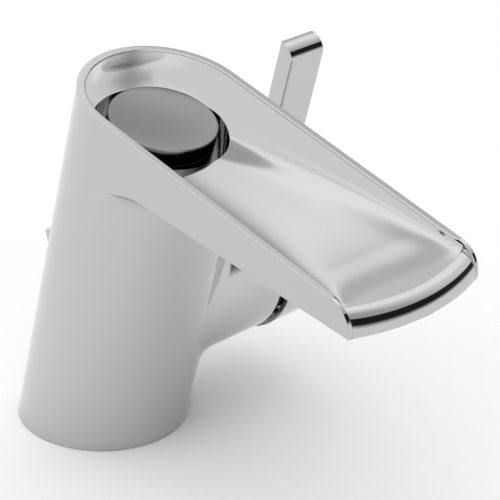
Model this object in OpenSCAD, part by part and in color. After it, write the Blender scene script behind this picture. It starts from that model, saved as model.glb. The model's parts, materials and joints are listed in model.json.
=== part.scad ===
// Single-lever basin mixer with an open waterfall spout.
// Frame: origin at the middle of the round foot, on the deck face.
// +Z is up, the spout points towards -Y, and the lever side is +X.

/* [Column] */
// Radius of the leaning column
column_r = 25; // [24:0.5:27]
// Forward lean of the column's axis, in degrees
column_lean = 15.6; // [13:0.2:17]
// Height of the rim's centre, measured along the column's axis
rim_h = 114.5; // [110:0.5:122]
// Fall of the rim towards the tip, below the horizon, in degrees
rim_slope = 15; // [13:0.5:16]

/* [Spout] */
// Length of the straight side faces, from the column's axis to the tip
spout_len = 95.7; // [88:0.5:104]
// Forward bulge of the curved nose, past the side faces
nose_bulge = 4.5; // [3:0.25:6]
// Height of the side faces at the tip
nose_h = 7.3; // [6.8:0.1:8.2]
// Angle between the underside and the rim, in degrees
under_slope = 5.6; // [4.8:0.1:6.4]
// Radius of the side walls' rounded upper front corners
tip_corner_r = 8; // [7:0.25:9]
// Radius of the rolled lip that the water leaves over
lip_r = 6; // [5:0.25:6.5]
// Depth of the lip's crest below the rim
lip_depth = 2; // [1.4:0.1:2.4]
// Radius of the cove between the underside and the column
cove_r = 8; // [6:0.5:10]

/* [Trough] */
// Wall thickness along the rim
rim_wall = 2.4; // [2.1:0.1:3]
// Wall thickness at the tip
tip_wall = 1.4; // [1.2:0.1:1.9]
// Depth of the trough below the rim, at the column
trough_depth = 14; // [13:0.25:14.5]
// Radius of the round outlet well under the cover
well_r = 19.3; // [18.5:0.1:20]
// Open height between the well's floor and the spreader
water_gap = 6.7; // [5.5:0.1:8]

/* [Outlet cover] */
// Radius of the round cover and of the spreader under it
cover_r = 15.5; // [14.5:0.1:16]
// Depth of the cover's top below the rim's centre
cover_drop = 7.5; // [6.5:0.25:8.5]
// Height of the cover above its seam
cover_h = 5.3; // [4.8:0.1:5.8]
// Open height of the seam between cover and spreader
seam_gap = 0.5; // [0.4:0.05:0.6]
// Height of the spreader's disc
spreader_h = 6.5; // [6:0.25:7]
// Depth of the dish in the cover's top
cover_dish = 0.5; // [0.3:0.1:0.8]
// Radius of the cover's threaded shank
shank_r = 4; // [3.5:0.1:4.4]
// Radius of the spreader's threaded spigot
spigot_r = 6; // [5.7:0.1:6.5]
// Length of the spigot in the casting
spigot_len = 8; // [7:0.5:10]
// Number of water ports around the spigot
spreader_ports = 6; // [4:1:8]
// Radius of each of those ports
spreader_port_r = 1.6; // [1.2:0.1:1.8]

/* [Hub] */
// Radius of the side hub
hub_r = 24; // [23.5:0.25:24]
// Height of the hub's axis along the column's axis
hub_h = 44.3; // [43:0.5:47]
// Distance from the column's axis to the hub's end face
hub_end = 40.5; // [40.5:0.25:42]
// Radius of the fillet between hub and column
hub_fillet_r = 8; // [6:0.5:9]

/* [Handle] */
// Outer radius of the handle's cap
cap_r = 25; // [25:0.1:25.6]
// Thickness of the cap's skirt
cap_wall = 1.6; // [1.4:0.1:1.7]
// Width of the dark band between hub and cap
band_w = 3.3; // [3.3:0.1:3.6]
// Overall length of the cap
cap_len = 16.7; // [16.7:0.1:18]
// Depth of the open space inside the cap's skirt
cap_cavity = 6.6; // [6.6:0.1:7]
// Radius on the cap's outer edge
cap_edge_r = 1.2; // [0.8:0.1:1.6]
// Width of the flat lever, along the hub's axis
lever_w = 13.1; // [12:0.1:13.4]
// Thickness of the lever
lever_t = 6; // [5.4:0.1:6.4]
// Distance from the cap's outer face to the lever's outer side
lever_inset = 1; // [0.6:0.1:1.4]
// Height of the lever's top above the hub's axis
lever_h = 72.2; // [66:0.5:80]
// Radius of the lever's rounded top front corner
lever_top_r = 5.2; // [4:0.1:5.4]
// Radius on the lever's long edges
lever_edge_r = 0.6; // [0.4:0.1:0.8]
// Largest outward tilt of the lever, in degrees
tilt_max = 16; // [12:0.5:16]

/* [Cartridge] */
// Radius of the valve cartridge
cartridge_r = 17.5; // [17.2:0.1:17.6]
// Distance from the column's axis to the cartridge's seat
seat_x = 10; // [9.5:0.25:10.5]
// Thickness of the cartridge's base
base_t = 4.8; // [4.4:0.1:5]
// Radius of the ceramic discs' chamber
chamber_r = 15; // [14.8:0.1:15.2]
// Thickness of each ceramic disc
disc_t = 3.4; // [3:0.1:3.5]
// Radius of the moving disc
moving_disc_r = 11.5; // [11:0.1:12]
// Thickness of the plate that drives the moving disc
driver_t = 3.4; // [3.2:0.1:3.6]
// Radius of the turning stem carrier
carrier_r = 11.75; // [11.4:0.05:12]
// Distance from the column's axis to the pin that the stem tilts on
pivot_x = 32; // [31.8:0.1:32.2]
// Distance from that pin to the stem's ball end
ball_arm = 7; // [6.8:0.1:7.2]
// Radius of the stem's ball end
ball_r = 2.8; // [2.6:0.1:3]
// Width of the square stem
stem_w = 8; // [7.4:0.1:8.2]
// Radius of the stem's pin
pin_r = 1.5; // [1.3:0.1:1.7]
// Radius of each water port through the cartridge
port_r = 2.6; // [2.3:0.1:2.7]
// Radius of the retaining nut's thread
nut_r = 19; // [18.8:0.1:19.2]
// Height of the retaining nut
nut_h = 6.8; // [6:0.1:6.8]

/* [Supplies] */
// Radius of the tapped hole of each supply inlet
inlet_r = 4.5; // [4.2:0.1:4.7]
// Depth of each tapped inlet
inlet_depth = 12; // [11:0.5:14]
// Sideways place of the inlets, towards -X
inlet_x = 9.5; // [9:0.25:10]
// Half the distance between the inlets, front to back
inlet_y = 7.5; // [7.2:0.1:7.8]
// Radius of the waterways in the casting
waterway_r = 2.8; // [2.4:0.1:2.8]
// Radius of the tapped hole for the fixing stud
stud_r = 3.4; // [3:0.1:3.6]
// Depth of the stud's tapped hole
stud_depth = 14; // [12:0.5:16]
// Sideways place of the stud's hole, towards +X
stud_x = 10; // [9:0.25:11]
// Thickness of the deck gasket
gasket_t = 1.9; // [1.6:0.1:2.2]
// Gap between the foot's outer edge and the deck, outside the gasket
foot_gap = 0.3; // [0.2:0.05:0.4]

/* [Lift rod] */
// Backward lean of the rod, in degrees
rod_lean = 15.5; // [14:0.25:17]
// Place of the rod's axis on the deck plane, towards +Y
rod_y = 5.1; // [4.9:0.1:5.3]
// Radius of the rod
rod_r = 2; // [1.8:0.05:2.1]
// Radius of the rod's knob
knob_r = 2.55; // [2.5:0.05:2.8]
// Length of the knob
knob_len = 11.5; // [10:0.25:11.5]
// Height of the knob's top along the rod's axis
rod_top = 55.6; // [55.6:0.1:60]
// Travel of the rod
rod_travel = 12; // [8:1:15]

/* [Hidden] */

$fn = 96;
// How far a cutting tool runs past the face that it cuts
overrun = 2;
// Gap between pieces that are screwed or slid together
slip = 0.1;
// Radial clearance of a running fit
running = 0.05;
// Gap between pieces that move past each other
clear = 0.3;
// How much wider the trough's round end is than its channel
bowl_step = 0.04;
// How deep a blend reaches into the forms that it joins
bite = 0.06;

// Trough: the places where its walls start to thin, as shares of the spout's length
thin_from_share = 0.86;
thin_to_share = 0.99;
// How fast the trough's floor rises: 1 is a straight ramp
ramp_power = 1.2;
// Squareness of the trough's section, where 2 is an ellipse.
// It gains a little along the spout and more at the lip.
square_back = 3.4;
square_gain = 1.1;
square_lip = 5;
lip_power = 8;
// Steps along the trough, and steps across one section
trough_rows = 28;
trough_steps = 24;
// Steps around a blend, and steps across its arc
blend_rows = 48;
blend_steps = 6;

// Nose: radius of the plan arc, and its centre on the rim plane
nose_r = (column_r * column_r + nose_bulge * nose_bulge) / (2 * nose_bulge);
nose_centre_y = nose_r - spout_len - nose_bulge;
trough_w = column_r - rim_wall;
tip_w = column_r - tip_wall;
spout_reach = spout_len + nose_bulge;
spout_drop = nose_h + spout_len * tan(under_slope);

// Outlet: heights along the column's axis
cover_top_h = rim_h - cover_drop;
cover_base_h = cover_top_h - cover_h;
spreader_top_h = cover_base_h - seam_gap;
spreader_base_h = spreader_top_h - spreader_h;
well_floor_h = spreader_base_h - water_gap;
shank_len = spreader_h - slip;
dish_r = (cover_r * cover_r + cover_dish * cover_dish) / (2 * cover_dish);
cover_edge_r = 0.5;
seam_ring_inset = 0.9;
seam_ring_w = 3.6;
spigot_wall = 2.4;
spreader_bore_r = spigot_r - spigot_wall;
spreader_neck_step = 1;
spreader_roof = 1;

// Cartridge: places along the hub's axis, counted from the column's axis
base_top = seat_x + base_t;
discs_face = base_top + disc_t;
driver_face = discs_face + disc_t;
driver_top = driver_face + driver_t;
flange_face = driver_top + clear;
flange_t = 2.7;
shoulder_face = flange_face + flange_t + clear;
housing_top_t = 2;
housing_top = shoulder_face + housing_top_t;
neck_wall = 1.2;
neck_r = carrier_r + running + neck_wall;
nut_end = housing_top + nut_h;
carrier_end = nut_end;
neck_short = 1.2;
neck_end = nut_end - neck_short;
flange_gap = 0.9;
flange_r = chamber_r - flange_gap;
ball_neck_r = 2.1;
spanner_w = 3;
spanner_depth = 2;
cavity_r = cartridge_r + slip;
nut_bore_r = nut_r + slip;
nut_hole_r = neck_r + clear;
// Inlet and outlet ports, above and below the hub's axis
inlet_port_h = 4.5;
outlet_port_h = 8;
// Mixing pocket in the moving disc
pocket_r = 6.9;
pocket_drop = 2;
pocket_depth = 1.8;
// O-rings round the ports
seal_r = 0.9;
seal_pitch_r = port_r + seal_r;
// Locating pegs of the cartridge
peg_r = 1.4;
peg_len = 2.2;
peg_pitch = 12.5;
peg_h = 3;

// Handle: places along the hub's axis
cap_start = hub_end + band_w;
cap_end = cap_start + cap_len;
cap_floor = cap_start + cap_cavity;
skirt_r = cap_r - cap_wall;
ring_proud = 0.3;
ring_root_r = skirt_r + ring_proud;
ring_taper = 0.8;
ring_tip_r = ring_root_r - ring_taper;
ring_gap = 0.4;
ring_end = cap_start - ring_gap;
ring_sleeve_wall = 1.6;
ring_hole_r = nut_r - ring_sleeve_wall;
lever_far = cap_end - lever_inset;
lever_mid = lever_far - lever_w / 2;
tenon_w = 7.5;
tenon_mid = (cap_floor + cap_end) / 2;
tenon_foot = 14;
stem_cover = 3.5;
stem_end = cap_end - stem_cover;
socket_w = stem_w + 2 * slip;
screw_r = 1.75;
screw_head_r = 2.7;
screw_head_t = 2.2;
screw_seat = 10.5;
screw_tip = 21;
grub_r = 3;
grub_len = 8;
hex_r = 1.6;
hex_depth = 3;
plug_t = 2.2;

// Lift rod: places along its axis
knob_foot = rod_top - knob_len;
rod_foot = 1.2;
knob_head = 3;
rod_in_knob = knob_len - knob_head;
knob_edge = 0.3;
rod_bore_gap = 0.6;
rod_bore_r = rod_r + rod_bore_gap;
bush_wall = 1.35;
bush_r = rod_r + bush_wall;
bush_from = 21;
bush_to = 29;

// Deck gasket
gasket_edge = 1.6;
gasket_w = 2.8;
gasket_out_r = column_r - gasket_edge;
gasket_in_r = gasket_out_r - gasket_w;

chrome = "#c9ccd0";
brass = "#c9a45c";
rubber = "#1c1c1e";
plastic = "#e9e6de";
ceramic = "#f6f4ee";
dark = "#232427";
steel = "#a9adb2";

// Frames

module on_column(h = 0) rotate([column_lean, 0, 0]) translate([0, 0, h]) children();

module on_rim() on_column(rim_h) rotate([rim_slope - column_lean, 0, 0]) children();

// Local X runs up the column, local Y forward, local Z out along the hub's axis
module on_hub(out = 0) on_column(hub_h) rotate([0, 90, 0]) rotate([0, 0, 180])
    translate([0, 0, out]) children();

module on_rod(h = 0) translate([0, rod_y, 0]) rotate([-rod_lean, 0, 0]) translate([0, 0, h]) children();

// A flat drawing with its X forward and its Y up, carried across the spout from side to side
module across(width) rotate([90, 0, -90]) linear_extrude(width, center = true) children();

module tube(outer_r, inner_r, length) difference() {
    cylinder(r = outer_r, h = length);
    translate([0, 0, -overrun]) cylinder(r = inner_r, h = length + 2 * overrun);
}

module torus(pitch_r, section_r) rotate_extrude() translate([pitch_r, 0]) circle(r = section_r, $fn = 32);

// A solid through sections with the same number of points; ring joins the last section to the first
module loft(sections, ring = false) {
    n = len(sections[0]);
    rows = len(sections);
    last = ring ? rows - 1 : rows - 2;
    points = [for (s = sections) each s];
    sides = [for (i = [0:last], j = [0:n - 1], k = [0, 1])
        let (a = i * n, b = ((i + 1) % rows) * n, j2 = (j + 1) % n)
        k == 0 ? [a + j, b + j, b + j2] : [a + j, b + j2, a + j2]];
    ends = ring ? [] : concat(
        [for (j = [1:n - 2]) [0, j, j + 1]],
        [for (j = [1:n - 2]) [(rows - 1) * n, (rows - 1) * n + j + 1, (rows - 1) * n + j]]);
    polyhedron(points = points, faces = concat(sides, ends), convexity = 6);
}

// Body casting

function ease(t) = let (c = min(1, max(0, t))) c * c * (3 - 2 * c);

function blend(a, b, t) = a + (b - a) * t;

function power(v, e) = v <= 0 ? 0 : pow(v, e);

function trough_half_width(run) =
    blend(trough_w, tip_w, ease((run / spout_len - thin_from_share) / (thin_to_share - thin_from_share)));

function trough_floor(run) =
    blend(lip_depth, trough_depth, power(1 - run / (spout_len - lip_r), ramp_power));

function trough_square(run) =
    let (share = min(1, run / spout_len))
    square_back + square_gain * share + square_lip * pow(share, lip_power);

// One side of the trough's section, from the wall down to the middle of the floor
function trough_curve(run, turn) =
    let (e = 2 / trough_square(run), c = cos(turn))
    [trough_half_width(run) * sign(c) * power(abs(c), e), -trough_floor(run) * power(sin(turn), e)];

function trough_section(run) = concat(
    [[trough_half_width(run), -run, overrun]],
    [for (j = [0:trough_steps]) let (p = trough_curve(run, 180 * j / trough_steps)) [p[0], -run, p[1]]],
    [[-trough_half_width(run), -run, overrun]]);

// The open channel from the column's axis to past the nose
module trough_channel() {
    far = spout_reach + overrun;
    loft([for (i = [trough_rows:-1:0]) trough_section(far * i / trough_rows)]);
}

// The round back end of the trough: the same section, turned about the rim's centre
module trough_bowl() rotate_extrude() polygon(concat(
    [[0, overrun]],
    [for (j = [trough_steps / 2:-1:0])
        let (p = trough_curve(0, 180 * j / trough_steps))
        [p[0] > 0 ? p[0] + bowl_step : 0, p[1]]],
    [[trough_w + bowl_step, overrun]]));

// What is cut away in front of a rounded edge that follows the nose's plan arc.
// Depth is the place of the edge's crest below the rim.
module front_cutter(depth, radius) translate([0, nose_centre_y, 0]) rotate_extrude($fn = 180) difference() {
    translate([nose_r - radius, -spout_drop]) square([radius + column_r, spout_drop + overrun]);
    translate([nose_r - radius, -depth - radius]) circle(r = radius);
    translate([nose_r - radius - overrun, -spout_drop - overrun])
        square([radius + overrun, spout_drop + overrun - depth - radius]);
}

// A slab across the spout's front half, from one distance beside the middle to another
module front_slab(from_x, to_x) translate([from_x, -spout_reach - 2 * overrun, -spout_drop])
    cube([to_x - from_x, spout_reach / 2, spout_drop + overrun]);

module spout() on_rim() difference() {
    across(2 * column_r) polygon([[0, 0], [spout_reach + overrun, 0],
        [spout_reach + overrun, (nose_bulge + overrun) * tan(under_slope) - nose_h], [0, -spout_drop]]);
    for (side = [0, 1]) mirror([side, 0, 0]) intersection() {
        front_cutter(0, tip_corner_r);
        front_slab(tip_w, column_r + overrun);
    }
    intersection() {
        front_cutter(lip_depth, lip_r);
        front_slab(-tip_w, tip_w);
    }
}

// Section of a blend: a concave arc about centre, from one foot to the other, closed inside the solid
function blend_section(centre, foot_a, foot_b, inside) =
    let (u = foot_a - centre, v = foot_b - centre, turn = acos(u * v / (norm(u) * norm(v))))
    concat([inside], [for (k = [0:blend_steps])
        let (s = k / blend_steps)
        centre + (sin((1 - s) * turn) * u + sin(s * turn) * v) / sin(turn)]);

// Ball rolling between hub and column: local X up, local Y forward, local Z out
function hub_blend_section(turn) =
    let (reach = hub_r + hub_fillet_r - bite, out = column_r + hub_fillet_r - bite,
        up = reach * cos(turn), fore = reach * sin(turn), far = sqrt(out * out - fore * fore),
        centre = [up, fore, far],
        on_hub = centre - hub_fillet_r * [cos(turn), sin(turn), 0],
        on_column = centre - hub_fillet_r * [0, fore, far] / out,
        inner = hub_r - hub_fillet_r / 2)
    blend_section(centre, on_hub, on_column,
        [inner * cos(turn), inner * sin(turn), far * (column_r - hub_fillet_r / 2) / out]);

module hub_blend() on_hub()
    loft([for (i = [0:blend_rows - 1]) hub_blend_section(360 * i / blend_rows)], ring = true);

// Ball rolling between the column's front and the sloping underside, in the column's frame
under_angle = under_slope - rim_slope + column_lean;

function under_h(fore) =
    rim_h - spout_drop / cos(column_lean - rim_slope) + fore * tan(under_angle);

function cove_section(turn) =
    let (out = column_r + cove_r - bite, side = out * cos(turn), fore = out * sin(turn),
        h = under_h(fore) - (cove_r - bite) / cos(under_angle),
        centre = [side, -fore, h],
        on_column = centre - cove_r * [side, -fore, 0] / out,
        on_under = centre + cove_r * [0, sin(under_angle), cos(under_angle)])
    blend_section(centre, on_under, on_column,
        [side * column_r / out, -fore * column_r / out, h + cove_r]);

module cove() intersection() {
    on_column() loft([for (i = [blend_rows / 2:-1:0]) cove_section(360 * i / blend_rows)]);
    translate([bite - column_r, -spout_len, 0]) cube([2 * (column_r - bite), spout_len, 2 * rim_h]);
}

module column_solid() difference() {
    on_column(-column_r) cylinder(r = column_r, h = rim_h + 2 * column_r, $fn = 180);
    on_rim() translate([-2 * column_r, -2 * column_r, 0]) cube(4 * column_r);
    translate([-2 * column_r, -2 * column_r, -4 * column_r]) cube(4 * column_r);
}

// Hot and cold waterways, the mixed riser, and the tapped holes in the foot
module waterways() {
    for (side = [-1, 1]) {
        translate([-inlet_x, side * inlet_y, -overrun]) cylinder(r = inlet_r, h = inlet_depth + overrun);
        on_column(inlet_depth - inlet_r) translate([-inlet_x, side * inlet_y, 0])
            cylinder(r = waterway_r, h = hub_h + inlet_port_h - inlet_depth + inlet_r);
        on_hub(-inlet_x) translate([inlet_port_h, side * inlet_y, 0])
            cylinder(r = waterway_r, h = inlet_x + seat_x + overrun);
    }
    on_hub(0) translate([-outlet_port_h, 0, 0]) cylinder(r = waterway_r, h = seat_x + overrun);
    on_column(hub_h - outlet_port_h)
        cylinder(r = waterway_r, h = well_floor_h - hub_h + outlet_port_h + overrun);
    on_column(well_floor_h - spigot_len) cylinder(r = spigot_r, h = spigot_len + overrun);
    translate([stud_x, 0, -overrun]) cylinder(r = stud_r, h = stud_depth + overrun);
}

module cartridge_pocket() {
    on_hub(seat_x) cylinder(r = cavity_r, h = hub_end, $fn = 120);
    on_hub(housing_top) cylinder(r = nut_bore_r, h = hub_end, $fn = 120);
    on_hub(seat_x - peg_len - slip) for (side = [-1, 1]) translate([-peg_h, side * peg_pitch, 0])
        cylinder(r = peg_r + slip, h = peg_len + overrun, $fn = 32);
}

module rod_bores() {
    on_rod(-overrun) cylinder(r = rod_bore_r, h = rod_top, $fn = 48);
    on_rod(bush_from) cylinder(r = bush_r, h = rod_top, $fn = 48);
}

// Groove in the foot for the deck gasket, and the relief outside it
module gasket_groove() translate([0, 0, -overrun]) {
    tube(gasket_out_r + slip, gasket_in_r - slip, gasket_t + overrun);
    tube(2 * column_r, gasket_out_r, foot_gap + overrun);
}

module body_casting() color(chrome) difference() {
    union() {
        column_solid();
        spout();
        cove();
        on_hub() cylinder(r = hub_r, h = hub_end, $fn = 120);
        hub_blend();
    }
    on_rim() trough_channel();
    on_rim() trough_bowl();
    on_column(well_floor_h) cylinder(r = well_r, h = rim_h, $fn = 120);
    waterways();
    cartridge_pocket();
    rod_bores();
    gasket_groove();
}

// Outlet

module outlet_cover() color(chrome) on_column(cover_base_h) difference() {
    union() {
        rotate_extrude($fn = 120) {
            square([cover_r, cover_h - cover_edge_r]);
            square([cover_r - cover_edge_r, cover_h]);
            translate([cover_r - cover_edge_r, cover_h - cover_edge_r]) circle(r = cover_edge_r, $fn = 32);
        }
        translate([0, 0, -seam_gap - shank_len])
            cylinder(r = shank_r, h = shank_len + seam_gap + cover_h / 2);
    }
    translate([0, 0, cover_h - cover_dish + dish_r]) sphere(r = dish_r, $fn = 180);
}

module cover_o_ring() color(rubber) on_column(spreader_top_h)
    tube(cover_r - seam_ring_inset, cover_r - seam_ring_inset - seam_ring_w, seam_gap);

module spreader() color(chrome) on_column(well_floor_h) difference() {
    rise = spreader_base_h - well_floor_h;
    union() {
        translate([0, 0, rise]) cylinder(r = cover_r, h = spreader_h, $fn = 120);
        cylinder(r = spigot_r + spreader_neck_step, h = rise + spreader_h / 2);
        translate([0, 0, slip - spigot_len]) cylinder(r = spigot_r - slip, h = spigot_len);
    }
    translate([0, 0, rise]) cylinder(r = shank_r + slip, h = spreader_h + overrun);
    translate([0, 0, -spigot_len - overrun])
        cylinder(r = spreader_bore_r, h = spigot_len + overrun + rise - spreader_roof);
    for (i = [0:spreader_ports - 1]) rotate([0, 0, 360 * i / spreader_ports])
        translate([0, -spreader_bore_r / 2, rise / 2]) rotate([90, 0, 0])
            cylinder(r = spreader_port_r, h = cover_r, $fn = 32);
}

// Cartridge

module port_places() {
    for (side = [-1, 1]) translate([inlet_port_h, side * inlet_y, 0]) children();
    translate([-outlet_port_h, 0, 0]) children();
}

module cartridge_base() color(plastic) on_hub(seat_x) difference() {
    union() {
        cylinder(r = cartridge_r, h = base_t, $fn = 120);
        for (side = [-1, 1]) translate([-peg_h, side * peg_pitch, -peg_len])
            cylinder(r = peg_r, h = peg_len + base_t / 2, $fn = 32);
    }
    port_places() translate([0, 0, -overrun]) cylinder(r = port_r, h = base_t + 2 * overrun);
    port_places() translate([0, 0, -overrun])
        cylinder(r = port_r + 2 * seal_r + slip, h = 2 * seal_r + overrun);
}

module port_seals() color(rubber) on_hub(seat_x + seal_r) port_places() torus(seal_pitch_r, seal_r);

module fixed_disc() color(ceramic) on_hub(base_top) difference() {
    cylinder(r = chamber_r - slip, h = disc_t, $fn = 120);
    port_places() translate([0, 0, -overrun]) cylinder(r = port_r, h = disc_t + 2 * overrun);
}

module moving_disc() color(ceramic) on_hub(discs_face) difference() {
    cylinder(r = moving_disc_r, h = disc_t, $fn = 120);
    translate([-pocket_drop, 0, -overrun]) cylinder(r = pocket_r, h = pocket_depth + overrun);
}

module disc_driver() color(plastic) on_hub(driver_face) difference() {
    cylinder(r = moving_disc_r, h = driver_t, $fn = 120);
    translate([0, 0, driver_t - ball_r - clear]) cylinder(r = ball_r + clear, h = driver_t);
}

module cartridge_housing() color(plastic) difference() {
    union() {
        on_hub(base_top) cylinder(r = cartridge_r, h = housing_top - base_top, $fn = 120);
        on_hub(base_top) cylinder(r = neck_r, h = neck_end - base_top, $fn = 120);
    }
    on_hub(base_top - overrun) cylinder(r = chamber_r, h = shoulder_face - base_top + overrun, $fn = 120);
    on_hub(base_top) cylinder(r = carrier_r + running, h = neck_end - base_top + overrun, $fn = 120);
}

module stem_carrier() color(plastic) difference() {
    union() {
        on_hub(flange_face) cylinder(r = flange_r, h = flange_t, $fn = 120);
        on_hub(flange_face) cylinder(r = carrier_r, h = carrier_end - flange_face, $fn = 120);
    }
    stem_slot();
    on_hub(pivot_x) rotate([90, 0, 0]) cylinder(r = pin_r, h = 2 * carrier_r, center = true, $fn = 48);
}

// Room for the stem's tilt, on the side that it swings to above and below its pin
module stem_slot() {
    low = (carrier_end - pivot_x) * tan(tilt_max) + stem_w / 2 / cos(tilt_max) + clear;
    high = (pivot_x - flange_face) * tan(tilt_max) + stem_w / 2 / cos(tilt_max) + clear;
    on_hub(flange_face - overrun) translate([-low, -stem_w / 2 - clear / 2, 0])
        cube([low + high, stem_w + clear, carrier_end - flange_face + 2 * overrun]);
}

module stem_pin() color(steel) on_hub(pivot_x) rotate([90, 0, 0])
    cylinder(r = pin_r, h = 2 * sqrt(carrier_r * carrier_r - pin_r * pin_r), center = true, $fn = 48);

module stem() color(brass) difference() {
    union() {
        on_hub(pivot_x - stem_w / 2) translate([-stem_w / 2, -stem_w / 2, 0])
            cube([stem_w, stem_w, stem_end - pivot_x + stem_w / 2]);
        on_hub(pivot_x - ball_arm) cylinder(r = ball_neck_r, h = ball_arm);
        on_hub(pivot_x - ball_arm) sphere(r = ball_r, $fn = 64);
    }
    on_hub(pivot_x) rotate([90, 0, 0])
        cylinder(r = pin_r + running, h = 2 * stem_w, center = true, $fn = 48);
}

module retaining_nut() color(brass) on_hub(housing_top) difference() {
    tube(nut_r, nut_hole_r, nut_h);
    for (turn = [45:90:315]) rotate([0, 0, turn])
        translate([nut_hole_r - overrun, -spanner_w / 2, nut_h - spanner_depth])
            cube([nut_r, spanner_w, spanner_depth + overrun]);
}

module slide_ring() color(dark) difference() {
    union() {
        on_hub(hub_end) cylinder(r1 = ring_root_r, r2 = ring_tip_r, h = ring_end - hub_end, $fn = 120);
        on_hub(nut_end + clear) cylinder(r = nut_r, h = hub_end - nut_end, $fn = 120);
    }
    on_hub(nut_end - overrun)
        cylinder(r = ring_hole_r, h = ring_end - nut_end + 2 * overrun, $fn = 120);
}

// Handle

module handle_cap() color(chrome) difference() {
    on_hub(cap_start) rotate_extrude($fn = 180) {
        square([cap_r, cap_len - cap_edge_r]);
        square([cap_r - cap_edge_r, cap_len]);
        translate([cap_r - cap_edge_r, cap_len - cap_edge_r]) circle(r = cap_edge_r, $fn = 48);
    }
    on_hub(cap_start - overrun) cylinder(r = skirt_r, h = cap_cavity + overrun, $fn = 120);
    on_hub(cap_floor - overrun) translate([-socket_w / 2, -socket_w / 2, 0])
        cube([socket_w, socket_w, stem_end + slip - cap_floor + overrun]);
    on_hub(tenon_mid) translate([tenon_foot - slip, -lever_t / 2 - slip, -tenon_w / 2 - slip])
        cube([cap_r, lever_t + 2 * slip, tenon_w + 2 * slip]);
    on_hub(tenon_mid) rotate([0, 90, 0]) {
        cylinder(r = screw_r + slip, h = tenon_foot + overrun, $fn = 32);
        cylinder(r = screw_head_r + clear, h = screw_seat, $fn = 32);
        translate([0, 0, -cap_r - overrun]) cylinder(r = grub_r, h = cap_r + overrun, $fn = 48);
    }
}

module lever_outline() {
    w = lever_w / 2;
    t = lever_t / 2;
    r = lever_edge_r;
    square([lever_t - 2 * r, lever_w], center = true);
    square([lever_t, lever_w - 2 * r], center = true);
    for (i = [-1, 1], j = [-1, 1]) translate([i * (t - r), j * (w - r)]) circle(r = r, $fn = 32);
}

module lever() color(chrome) difference() {
    on_hub() {
        difference() {
            translate([0, 0, lever_mid]) rotate([0, 90, 0]) rotate([0, 0, 90])
                linear_extrude(lever_h) lever_outline();
            cylinder(r = cap_r, h = 2 * cap_end, $fn = 180);
            lever_corner();
        }
        intersection() {
            translate([tenon_foot, -lever_t / 2, tenon_mid - tenon_w / 2]) cube([cap_r, lever_t, tenon_w]);
            cylinder(r = cap_r + lever_edge_r, h = 2 * cap_end, $fn = 180);
        }
    }
    on_hub(tenon_mid) rotate([0, 90, 0]) cylinder(r = screw_r, h = screw_tip + slip, $fn = 32);
}

module lever_corner() {
    depth = lever_t / 2 - lever_top_r;
    difference() {
        translate([lever_h - lever_top_r, depth, 0])
            cube([lever_top_r + overrun, lever_top_r + overrun, 2 * cap_end]);
        translate([lever_h - lever_top_r, depth, -overrun])
            cylinder(r = lever_top_r, h = 2 * cap_end + 2 * overrun, $fn = 96);
    }
}

module lever_screw() color(steel) on_hub(tenon_mid) rotate([0, 90, 0]) {
    translate([0, 0, screw_seat - screw_head_t]) cylinder(r = screw_head_r, h = screw_head_t, $fn = 32);
    translate([0, 0, screw_seat - screw_head_t / 2])
        cylinder(r = screw_r, h = screw_tip - screw_seat + screw_head_t / 2, $fn = 32);
}

module grub_screw() color(steel) on_hub(tenon_mid) rotate([0, -90, 0])
    translate([0, 0, stem_w / 2]) difference() {
    cylinder(r = grub_r, h = grub_len, $fn = 48);
    translate([0, 0, grub_len - hex_depth]) cylinder(r = hex_r, h = grub_len, $fn = 6);
}

module screw_plug() color(dark) on_hub(tenon_mid) rotate([0, -90, 0])
    translate([0, 0, cap_r - plug_t - slip]) cylinder(r = grub_r, h = plug_t, $fn = 48);

// Deck side and lift rod

module deck_gasket() color(rubber) tube(gasket_out_r, gasket_in_r, gasket_t);

module rod_guide_bush() color(plastic) on_rod(bush_from) tube(bush_r, rod_r + running, bush_to - bush_from);

module lift_rod() color(chrome) on_rod(rod_foot)
    cylinder(r = rod_r, h = knob_foot + rod_in_knob - rod_foot, $fn = 48);

module rod_knob() color(chrome) on_rod(knob_foot) difference() {
    rotate_extrude($fn = 64) polygon([[0, 0], [knob_r - knob_edge, 0], [knob_r, knob_edge],
        [knob_r, knob_len - knob_edge], [knob_r - knob_edge, knob_len], [0, knob_len]]);
    translate([0, 0, -overrun]) cylinder(r = rod_r, h = rod_in_knob + overrun, $fn = 48);
}

body_casting();
outlet_cover();
cover_o_ring();
spreader();
cartridge_housing();
cartridge_base();
port_seals();
fixed_disc();
retaining_nut();
slide_ring();
deck_gasket();
rod_guide_bush();
stem_carrier();
stem_pin();
disc_driver();
moving_disc();
stem();
handle_cap();
lever();
lever_screw();
grub_screw();
screw_plug();
lift_rod();
rod_knob();
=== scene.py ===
"""Looks of the waterfall basin faucet.

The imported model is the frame. The casting, the handle cap and the cover get smooth skins of the same form,
and every piece gets its finish here.
"""
import json
import math
from functools import partial
import bpy
import numpy as np
from mathutils import Matrix, Vector
from mathutils.geometry import delaunay_2d_cdt


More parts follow.
